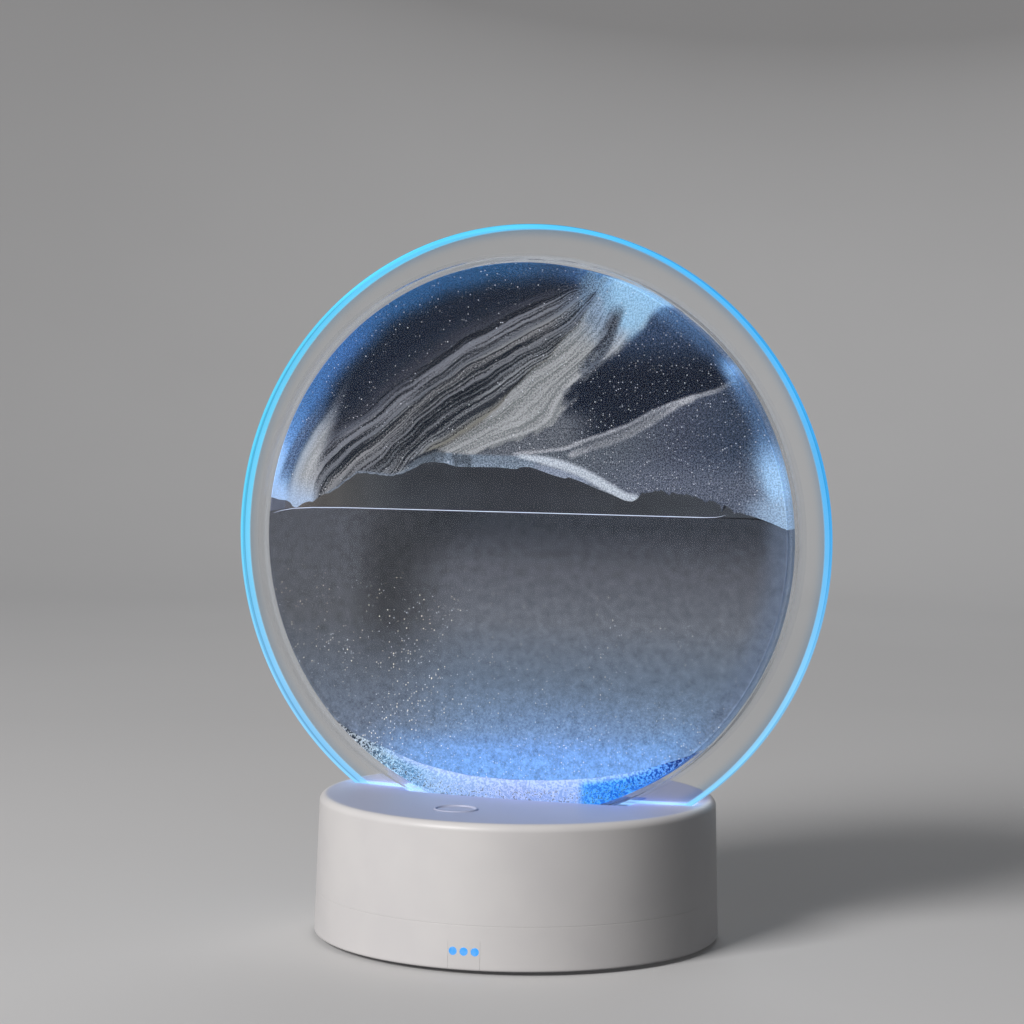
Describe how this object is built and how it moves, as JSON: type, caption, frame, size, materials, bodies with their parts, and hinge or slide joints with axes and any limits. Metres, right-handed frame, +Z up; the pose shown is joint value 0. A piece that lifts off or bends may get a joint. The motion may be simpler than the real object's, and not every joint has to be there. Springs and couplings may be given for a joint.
{
  "type": "sand art table lamp",
  "caption": "Round sealed sand picture that turns inside an edge-lit clear round plate, which stands in a slot across a low round white base with a touch key and a charge window.",
  "frame": {"origin": "On the table, under the middle of the round base.", "axes": "+Z up, -Y towards the front of the picture, +X to its right. The disc turns about +Y."},
  "size_m": [0.2016, 0.13, 0.228],
  "materials": {
    "housing": "satin moulded plastic, warm white",
    "foot_rubber": "matte black rubber",
    "steel": "plain zinc-plated steel",
    "copper": "bare copper alloy",
    "circuit_board": "green solder mask",
    "lamp": "clear resin over a light chip",
    "indicator_blue": "lit blue light guide",
    "cell": "shrink-wrapped can",
    "dark_plastic": "fine matt texture",
    "wire": "smooth insulation",
    "clear_plate": "clear, polished all over, lit through its edge",
    "clear_rim": "clear, polished",
    "pane_glass": "polished flat glass",
    "gasket": "clear silicone",
    "sand": "layered white, grey and black grains with glitter",
    "fluid": "cloudy clear fluid with fine glitter",
    "bed_sand": "settled pale grains, lit blue from the plate"
  },
  "bodies": {
    "base": {"upper_housing": "housing", "lower_housing": "housing", "indicator_insert": "housing", "touch_key": "housing", "plate_holder": "housing", "foot_1": "foot_rubber", "foot_2": "foot_rubber", "foot_3": "foot_rubber", "foot_4": "foot_rubber", "housing_screw_1": "steel", "housing_screw_2": "steel", "housing_screw_3": "steel", "housing_screw_4": "steel", "holder_screw_1": "steel", "holder_screw_2": "steel", "led_board_screw_1": "steel", "led_board_screw_2": "steel", "main_board_screw_1": "steel", "main_board_screw_2": "steel", "ballast_plate": "steel", "charge_socket": "steel", "touch_electrode": "copper", "led_board": "circuit_board", "main_board": "circuit_board", "indicator_board": "circuit_board", "led_1": "lamp", "led_2": "lamp", "led_3": "lamp", "led_4": "lamp", "led_5": "lamp", "led_6": "lamp", "indicator_lens_1": "indicator_blue", "indicator_lens_2": "indicator_blue", "indicator_lens_3": "indicator_blue", "battery_cell": "cell", "battery_holder": "dark_plastic", "led_lead": "wire", "battery_lead": "wire", "indicator_lead": "wire", "touch_lead": "wire"},
    "plate": {"light_plate": "clear_plate"},
    "disc": {"rear_rim": "clear_rim", "front_rim": "clear_rim", "rear_pane": "pane_glass", "front_pane": "pane_glass", "rear_seal": "gasket", "front_seal": "gasket", "sand_mass": "sand", "liquid": "fluid", "sand_bed": "bed_sand"}
  },
  "joints": [
    {"name": "plate_lift", "type": "slide", "parent": "base", "child": "plate", "axis": [0, 0, 1], "range_m": [0, 0.02]},
    {"name": "disc_turn", "type": "hinge", "parent": "plate", "child": "disc", "pos_m": [0, 0.0025, 0.12724], "axis": [0, 1, 0], "continuous": true}
  ]
}
